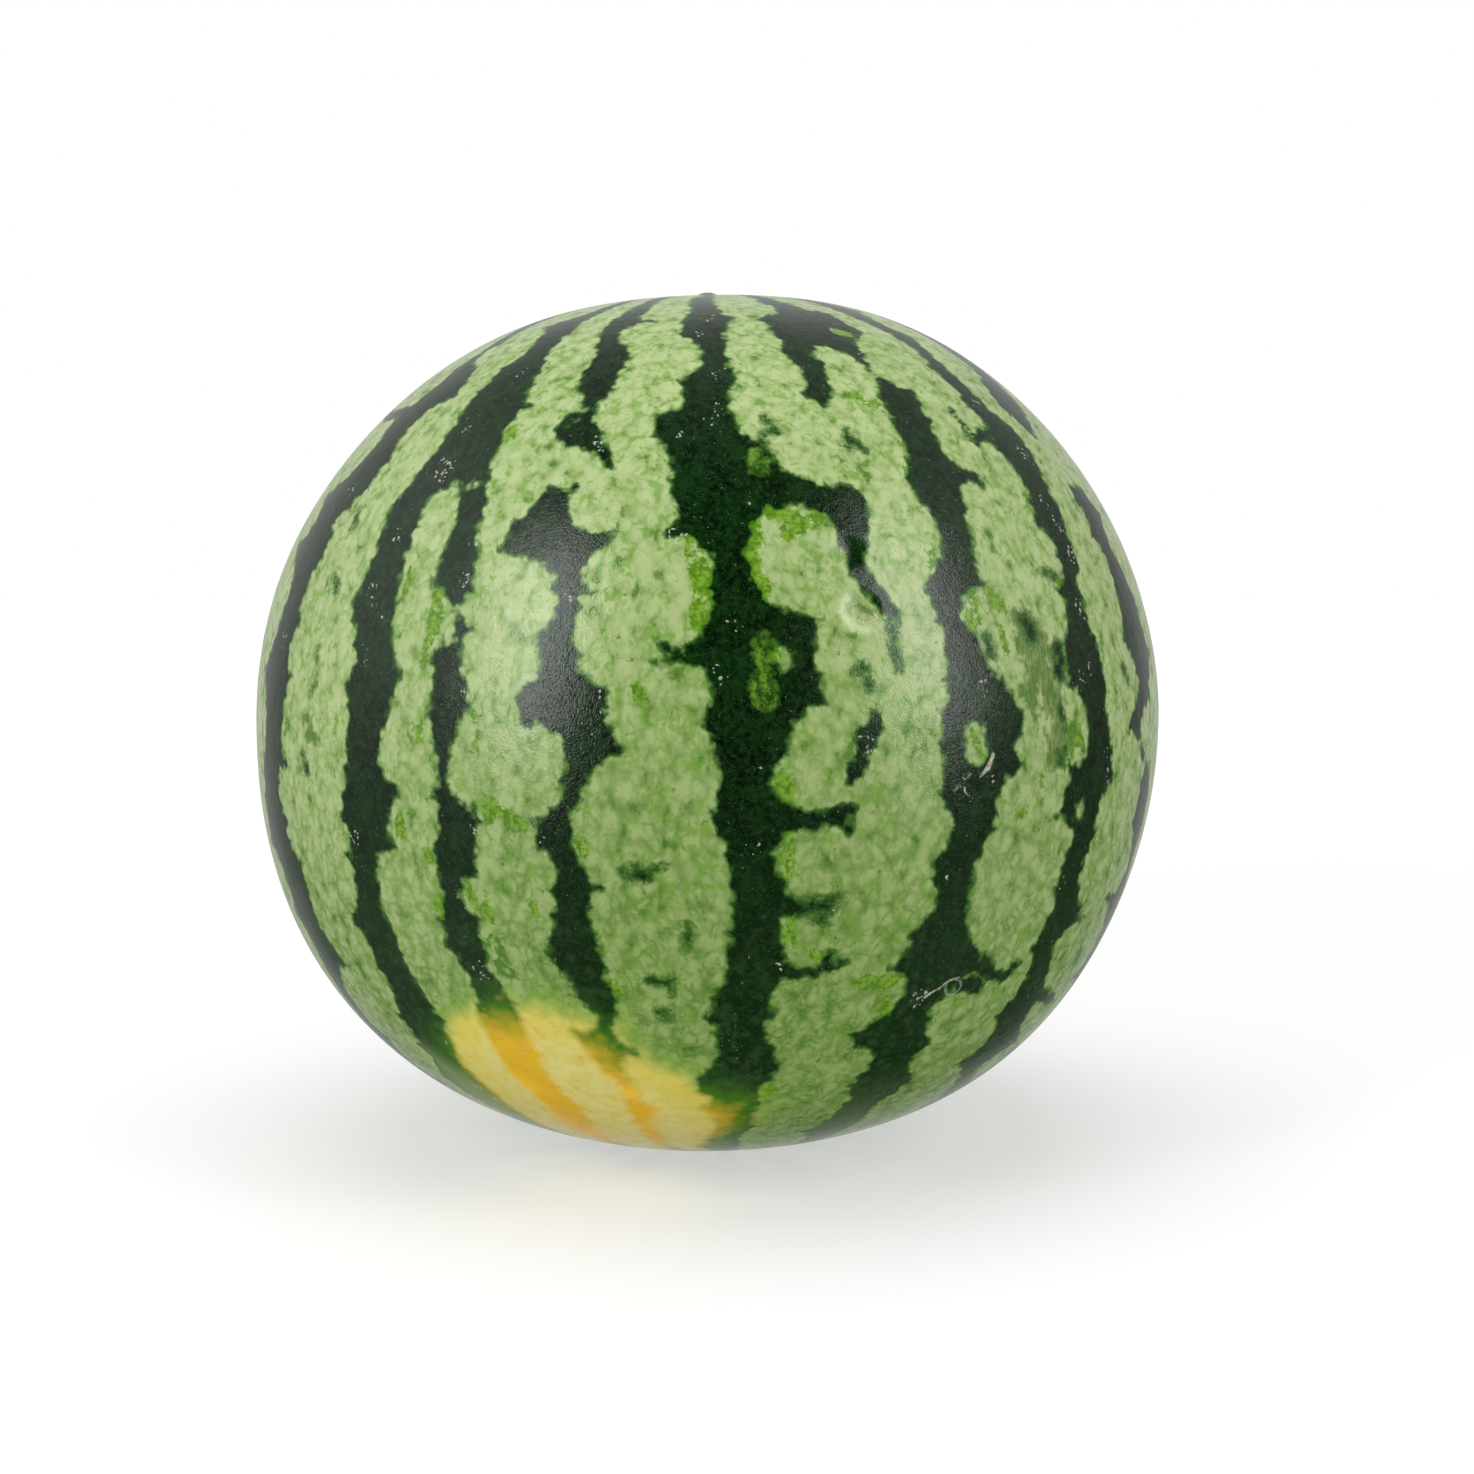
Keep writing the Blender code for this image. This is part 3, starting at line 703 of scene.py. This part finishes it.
def add_node(tree, kind, inputs, output=0, **settings):
    """Adds a node, feeds its inputs by name or number, and returns one of its outputs."""
    node = tree.nodes.new(kind)
    for setting, value in settings.items():
        setattr(node, setting, value)
    for name, value in inputs.items():
        feed(node.inputs[name], value)
    return Value(tree, node.outputs[output])


def sum_method(operation, swapped=False):
    """A method of Value that adds one Math node."""
    def method(value, other):
        first, second = (other, value) if swapped else (value, other)
        return add_node(value.tree, "ShaderNodeMath", {0: first, 1: second}, operation=operation)
    return method


class Value:
    """A node's output, which can stand in a sum."""

    __add__ = __radd__ = sum_method("ADD")
    __sub__, __rsub__ = sum_method("SUBTRACT"), sum_method("SUBTRACT", swapped=True)
    __mul__ = __rmul__ = sum_method("MULTIPLY")
    __truediv__ = sum_method("DIVIDE")
    most = sum_method("MAXIMUM")

    def __init__(self, tree, socket):
        self.tree, self.socket = tree, socket

    def between(self, low, high):
        """0 up to low, 1 from high on, and a smooth rise from one to the other."""
        inputs = {"Value": self, "From Min": low, "From Max": high}
        return add_node(self.tree, "ShaderNodeMapRange", inputs, "Result",
                        interpolation_type="SMOOTHSTEP")


def shade(red, green, blue):
    """A colour as it looks on a screen, from 0 to 255, in linear light for the shader."""
    sides = [side / 255 for side in (red, green, blue)]
    return (*[side / 12.92 if side < 0.04045 else ((side + 0.055) / 1.055) ** 2.4 for side in sides], 1)


class Finish:
    """A material that is written line by line."""

    def __init__(self, name):
        self.material = bpy.data.materials.new(name)
        self.material.use_nodes = True
        self.tree = self.material.node_tree
        self.inputs = self.tree.nodes["Principled BSDF"].inputs

    def place(self):
        return add_node(self.tree, "ShaderNodeTexCoord", {}, "Object")

    def layer(self, name):
        """A number that is stored on the mesh's points."""
        return add_node(self.tree, "ShaderNodeAttribute", {}, "Fac", attribute_name=name)

    def noise(self, where, size, detail=2.0, rough=0.5, output="Fac"):
        inputs = {"Vector": where, "Scale": 1 / size, "Detail": detail, "Roughness": rough}
        return add_node(self.tree, "ShaderNodeTexNoise", inputs, output)

    def cells(self, where, size, feature="F1", output="Distance"):
        inputs = {"Vector": where, "Scale": 1 / size}
        return add_node(self.tree, "ShaderNodeTexVoronoi", inputs, output, feature=feature)

    def move(self, operation, *vectors, output=0, **named):
        inputs = {**dict(enumerate(vectors)), **named}
        return add_node(self.tree, "ShaderNodeVectorMath", inputs, output, operation=operation)

    def mix(self, share, first, second):
        """A mixed colour, first where share is 0 and second where it is 1, as on a screen."""
        first, second = (side if isinstance(side, Value) else shade(*side) for side in (first, second))
        return add_node(self.tree, "ShaderNodeMix", {0: share, 6: first, 7: second}, 2, data_type="RGBA")


# %% [markdown]
# ## The rind's finish
# The skin is one coat of wax over layers of green. Its pale ground is built from soft round cells
# of about three millimetres, and the same cells push the stripe edge outwards, which makes it
# knobbly. Voronoi cells were chosen because noise gives waves where the fruit has lobes. Some
# patterns are also kept less a half, such as grit and haze, to push an edge both ways.

# %% Cells of the rind
skin = Finish("rind skin")
place = skin.move("SCALE", skin.place(), Scale=1000)  # millimetres


def stirred(*by):
    """The place on the rind in millimetres, pushed about by up to this much."""
    return skin.move("MULTIPLY_ADD", wobble, by, place)


wobble = skin.move("SUBTRACT", skin.noise(place, 3.2, 3, 0.65, "Color"), (0.5, 0.5, 0.5))
spot = stirred(2.6, 2.6, 2.6)
lump = skin.cells(spot, 2.9)
knob = skin.cells(stirred(1.4, 1.4, 1.4), 1.6)
grain = skin.noise(place, 0.8, 3, 0.7)
speck = skin.noise(place, 0.42, 1, 0.5)
cloud = skin.noise(place, 16, 2, 0.5)
blotch = skin.noise(spot, 5.5, 3, 0.6)
upright = skin.move("MULTIPLY", spot, (1, 1, 0.74))  # makes cells a little taller than wide
mist = skin.noise(upright, 4.2, 3, 0.6)
dome, knobs, grit, haze = 0.5 - lump, knob - 0.5, grain - 0.5, mist - 0.5

# %% The ground spot's reach, and the stripe edge
ground_mm = skin.layer("ground") + (cloud - 0.5) * 8 + dome * 2.5 + (blotch - 0.5) * 6
belly_share = ground_mm.between(-3, 3.5)
ragged = skin.layer("ragged")
edge = skin.layer("stripe") - 0.5 + ragged * grit * 3
edge += (1 - 0.7 * belly_share) * (dome * 1.9 + (0.5 - knob) * 0.6 + grit * 0.8)
edge = edge / (1 + ragged * 1.2 + belly_share * 2)

# %% Colours of the pale rind
height_mm = add_node(skin.tree, "ShaderNodeSeparateXYZ", {"Vector": place}, "Z")
# 0 high up and 1 low down; it paints shade on the lower pale rind, and adds threads there
low_down = height_mm.between(135, 40)
cobble = skin.cells(upright, 2.7) + haze * 1.3 + knobs * 0.22 + grit * 0.45
net = skin.cells(upright, 3, "DISTANCE_TO_EDGE") + grit * 0.24 + knobs * 0.12
thread = net.between(0.26, -0.04) * mist.between(0.32, 0.58)
valley = cobble.between(0.14, 1.16).most(thread * (0.6 + 0.3 * low_down))
furrow = valley - 0.5
# Painted shade: the pale rind and its valleys grow darker towards the bottom.
pale = skin.mix(low_down, (172, 188, 133), (158, 177, 119))
pale = skin.mix(valley, pale, skin.mix(low_down, (118, 150, 70), (89, 126, 48)))
# Painted shade on the front of the fruit: a darker, greener pale rind.
front_shade = skin.layer("front_shade")
pale = skin.mix(front_shade * 0.9, pale, skin.mix(valley, (140, 162, 93), (78, 118, 37)))
dab = (skin.noise(upright, 1.7, 1, 0.5) + (blotch - 0.5) * 0.8 + valley * 0.14).between(0.62, 0.76)
pale = skin.mix(dab * 0.6, pale, (102, 150, 44))
pale = skin.mix(grit.between(0, 0.25) * 0.2, pale, (176, 194, 134))
# Painted shade: the lowest part of the pale rind is darkened further.
pale = skin.mix(height_mm.between(110, 20) * 0.16, pale, (96, 126, 60))
pit = (skin.cells(place, 6) + grit * 0.3).between(0.09, 0.03)
pale = skin.mix(pit * 0.6, pale, (52, 84, 34))
mellow = skin.layer("mellow")
pale = skin.mix(mellow * 0.8, pale, (194, 198, 146))

# %% Colours of the dark stripes
cell = cobble + grit * 0.3
mottle = blotch.between(0.5, 0.68) * (0.2 + 0.6 * net.between(0.25, 0))
dark = skin.mix(cell.between(0.1, 1), (0, 16, 0), (7, 39, 7))
dark = skin.mix(skin.noise(place, 1.3, 2, 0.5).between(0.42, 0.68) * 0.3, dark, (40, 68, 34))
dark = skin.mix(speck.between(0.6, 0.8) * 0.3, dark, (84, 106, 78))
dark = skin.mix(mottle, dark, (18, 54, 15))
# Partly a lighter base of the lower stripes and partly painted light from below: the dark grows lighter
# towards the bottom, most in its cells, and less on the painted front shade.
lift = 0.14 + 0.4 * cell.between(0.7, 0.1) - 0.08 * front_shade
dark = skin.mix(height_mm.between(110, 40) * lift, dark, (54, 84, 44))
dark = skin.mix(height_mm.between(40, 14) * 0.6, dark, (88, 116, 66))

# %% Young green beside the stripes
bright = skin.layer("bright") + haze * 1.6 + furrow * 0.5 + grit * 1.1
bright_share = bright.between(0.4, 0.8)
fresh = skin.mix((grain + knobs * 0.5).between(0.38, 0.66), (116, 154, 48), (78, 122, 20))
pale = skin.mix(bright_share, pale, fresh)

# %% The rubbed patch, olive islands and deep dabs
streaks = skin.noise(skin.move("MULTIPLY", place, (1, 1, 0.2)), 0.7, 3, 0.7)
rubbed = skin.layer("rubbed") + (streaks - 0.5) * 1.4 + haze * 2 + furrow * 0.6
scuffed = skin.mix(streaks.between(0.4, 0.66), (76, 112, 40), (146, 152, 104))
scuffed = skin.mix(blotch.between(0.46, 0.62) * 0.5, scuffed, (56, 90, 28))
scuffed = skin.mix(mist.between(0.42, 0.6) * 0.6, scuffed, (76, 118, 34))
pale = skin.mix(rubbed.between(0.25, 0.75) * 0.92, pale, scuffed)
olive = skin.layer("olive")
olive_grain = (grain * 0.6 + knob * 0.4 + haze * 1.5 + (speck - 0.5) * 0.5).between(0.24, 0.66)
olive_mark = skin.mix(olive_grain, (98, 136, 38), (28, 64, 14))
pale = skin.mix(olive, pale, olive_mark)
deep = skin.layer("deep") + furrow * 0.9 + haze * 1.6 + grit * 0.9
pale = skin.mix(deep.between(0.35, 0.95) * 0.8, pale, (64, 112, 26))

# %% Colours of the ground spot
belly = skin.mix(lump.between(0.35, 0.9) * 0.5, (212, 202, 122), (198, 184, 90))
belly = skin.mix(ground_mm.between(14, 3) * 0.6, belly, (204, 190, 66))
belly = skin.mix(blotch.between(0.45, 0.7) * 0.45, belly, (208, 188, 80))
halo = ground_mm.between(-8, -1) - ground_mm.between(-1, 4)
pale = skin.mix(belly_share, skin.mix(halo * 0.5, pale, (140, 172, 70)), belly)
yolk = skin.mix(cloud.between(0.35, 0.65), (230, 186, 56), (214, 172, 38))
yolk = skin.mix(ground_mm.between(4, 14), (156, 148, 34), yolk)
yolk = skin.mix(ground_mm.between(0.5, 6.5), (66, 114, 24), yolk)
dark = skin.mix(ground_mm.between(-9, -2) * 0.4, dark, (56, 98, 34))
dark = skin.mix(ground_mm.between(-4, 2.5), dark, yolk)
dark = skin.mix(mellow * 0.9, dark, (118, 144, 78))

# %% From dark to pale
fringe = skin.mix(belly_share, skin.mix(bright_share, (56, 98, 34), (76, 130, 24)), yolk)
colour = skin.mix(edge.between(-1.1, -0.1), dark, skin.mix(olive, fringe, olive_mark))
colour = skin.mix(edge.between(-0.45, 0.65), colour, pale)
pink = blotch - 0.46 - skin.cells(stirred(5, 5, 5), 2.6) * 0.35 + grit * 0.4
colour = skin.mix(pink.between(-0.02, 0.14) * belly_share * 0.45, colour, (200, 142, 78))

# %% Corky flecks, dust and scars
def one_in_each_cell(where, size):
    """A random number that is the same all over a cell."""
    cell_colour = skin.cells(where, size, output="Color")
    return add_node(skin.tree, "ShaderNodeSeparateColor", {"Color": cell_colour}, 0)


fleck_spot = stirred(2.2, 2.2, 3.6)
fleck_chance = one_in_each_cell(fleck_spot, 0.95) + skin.layer("flecked") * 0.75 - 0.97
fleck = 0.44 * fleck_chance.between(0, 0.5) - skin.cells(fleck_spot, 0.95) + grit * 0.7
dust = 0.12 * one_in_each_cell(place, 1.5).between(0.6, 1) - skin.cells(place, 1.5)
dust_share = dust.between(-0.05, 0.03) * edge.between(0.3, -0.8)
fleck = fleck.between(-0.04, 0.1).most(dust_share * 0.4)
cork_grey = skin.mix(grain, (140, 140, 122), (222, 218, 208))
colour = skin.mix(fleck * 0.65, colour, skin.mix(belly_share, cork_grey, (208, 172, 118)))
ring = skin.layer("ring_gap") + grit * 1.4
colour = skin.mix(ring.between(2.4, 2.1) * ring.between(1.6, 1.9) * 0.55, colour, (150, 150, 146))
healed = skin.layer("healed") + grit * 0.6
colour = skin.mix(healed.between(0.2, 1) * 0.5, colour, (206, 220, 172))
# Painted shade in the pit of the second scar.
scar_pit_shade = skin.layer("scar_pit_shade") + grit * 1.6
colour = skin.mix(scar_pit_shade.between(0.2, 0.9) * 0.7, colour, (74, 100, 46))
scab = (skin.layer("scab") + grit).between(0.15, 0.8)
crust = skin.mix(speck.between(0.35, 0.6), (150, 138, 106), (212, 210, 194))
colour = skin.mix(scab * 0.75, colour, crust)

# %% Stem and blossom
stem_mm = skin.layer("stem_gap") + grit * 1.6
cork = skin.mix(skin.noise(place, 1.2, 4, 0.7), (150, 140, 104), (100, 92, 62))
colour = skin.mix(stem_mm.between(8.5, 4.6) * 0.7, colour, (84, 98, 52))
colour = skin.mix(stem_mm.between(4.6, 3.6), colour, cork)
blossom_mm = skin.layer("blossom_gap") + grit * 1.6
colour = skin.mix(blossom_mm.between(8, 5) * 0.8, colour, (136, 124, 82))
colour = skin.mix(blossom_mm.between(4, 3), colour, (92, 78, 52))

# %% Wax and relief
bloom = skin.noise(spot, 11, 3, 0.6)
relief = dome * 0.08 + grain * 0.13 + speck * 0.12 + fleck * 0.1 + cloud * 0.5
bump = add_node(skin.tree, "ShaderNodeBump", {"Strength": 0.6, "Distance": 0.001, "Height": relief})
feed(skin.inputs["Base Color"], colour)
feed(skin.inputs["Roughness"], 0.07 + 0.05 * bloom + 0.17 * grain + fleck * 0.2)
feed(skin.inputs["Specular IOR Level"], 0.5)
feed(skin.inputs["Normal"], bump)
rind_mesh.materials.clear()
rind_mesh.materials.append(skin.material)
print("the rind's finish has", len(skin.tree.nodes), "nodes")


# %% [markdown]
# ## Floor, light and camera
# The floor is plain and pale, and stands in for any table. Two tall soft lights left and right in
# front of the fruit give a soft streak each on the wax, and a wide one hangs above. The room is
# white to the camera, but what the wax mirrors is dark with a glow at both sides, so that the
# middle of the fruit stays deep green.

# %% Floor
END = 6  # metres from the middle
corners = [(-END, -END, 0), (END, -END, 0), (END, END, 0), (-END, END, 0)]
floor_mesh = bpy.data.meshes.new("floor")
floor_mesh.from_pydata(corners, [], [(0, 1, 2, 3)])
floor = new_object("floor", floor_mesh)
paper = Finish("pale floor")
floor_place = paper.place()
paper_grain = paper.noise(floor_place, 0.8)
PAPER, PAPER_GRAIN, BRIGHT_WHITE = (187.516,) * 3, (192.469,) * 3, (255,) * 3
far_off = paper.move("LENGTH", floor_place, output="Value").between(0.3, 1.8)
feed(paper.inputs["Base Color"], paper.mix(paper_grain, PAPER, PAPER_GRAIN))
feed(paper.inputs["Roughness"], 0.85)
feed(paper.inputs["Emission Color"], paper.mix(far_off, PAPER, BRIGHT_WHITE))
feed(paper.inputs["Emission Strength"], 1.0)
floor_mesh.materials.append(paper.material)
floor.visible_glossy = False

# %% Lights
LIGHT_DISTANCE, LIGHT_UP = 1.25, 22


def soft_light(name, place, size, power):
    """A rectangle of light in this place, aimed at the fruit's heart."""
    lamp = bpy.data.lights.new(name, "AREA")
    lamp.shape, lamp.energy = "RECTANGLE", power
    lamp.size, lamp.size_y = size
    light = new_object(name, lamp)
    light.location = place
    light.rotation_euler = (heart - light.location).to_track_quat("-Z", "Y").to_euler()
    return light


def out_from_fruit(around):
    return heart + Vector(towards(around, LIGHT_UP)) * LIGHT_DISTANCE


soft_light("left soft light", out_from_fruit(-42), (0.24, 1.1), 6.2)
soft_light("right soft light", out_from_fruit(54), (0.25, 1.1), 5.0)
overhead = soft_light("top soft light", heart + Vector((-0.05, 0, LIGHT_DISTANCE)), (1.3, 1.3), 14)
overhead.visible_glossy = False
scene.view_settings.view_transform = "Standard"

# %% The room round it
world = bpy.data.worlds.new("studio")
world.use_nodes = True
room = world.node_tree
turn = add_node(room, "ShaderNodeTexCoord", {}, "Generated")
rightward, behind, above = (add_node(room, "ShaderNodeSeparateXYZ", {0: turn}, side) for side in "XYZ")
sideways = rightward.most(rightward * -1)
aside = sideways.between(0.35, 0.8) * (1 - 0.6 * behind.between(-0.2, 0.6))
brighter_up = 0.25 + 0.75 * above.between(-0.3, 0.3)
glow = 0.01 + 0.8 * aside * (1 - 0.5 * rightward.between(0, 0.6)) * brighter_up
glow = glow + 0.55 * behind.between(0.6, 0.97) + 0.3 * above.between(0.2, 0.8) * behind.between(-0.4, 0.5)
seen = add_node(room, "ShaderNodeLightPath", {}, "Is Camera Ray")
feed(room.nodes["Background"].inputs["Color"], (1, 1, 1, 1))
feed(room.nodes["Background"].inputs["Strength"], glow * (1 - seen) + seen)
scene.world = world

# %% Camera
CAMERA_DISTANCE, CAMERA_LIFT = 0.600, math.radians(4.5)
LENS_MM, SENSOR_MM = 53.86, 36
AIM = Vector((0.0080, 0, -0.0048))  # the point looked at, from the fruit's heart
lens = bpy.data.cameras.new("camera")
lens.lens, lens.sensor_width = LENS_MM, SENSOR_MM
camera = new_object("camera", lens)
away = Vector((0, -math.cos(CAMERA_LIFT), math.sin(CAMERA_LIFT)))
camera.location = heart + CAMERA_DISTANCE * away
camera.rotation_euler = (heart + AIM - camera.location).to_track_quat("-Z", "Y").to_euler()
scene.camera = camera
print("camera at", [round(side, 3) for side in camera.location])
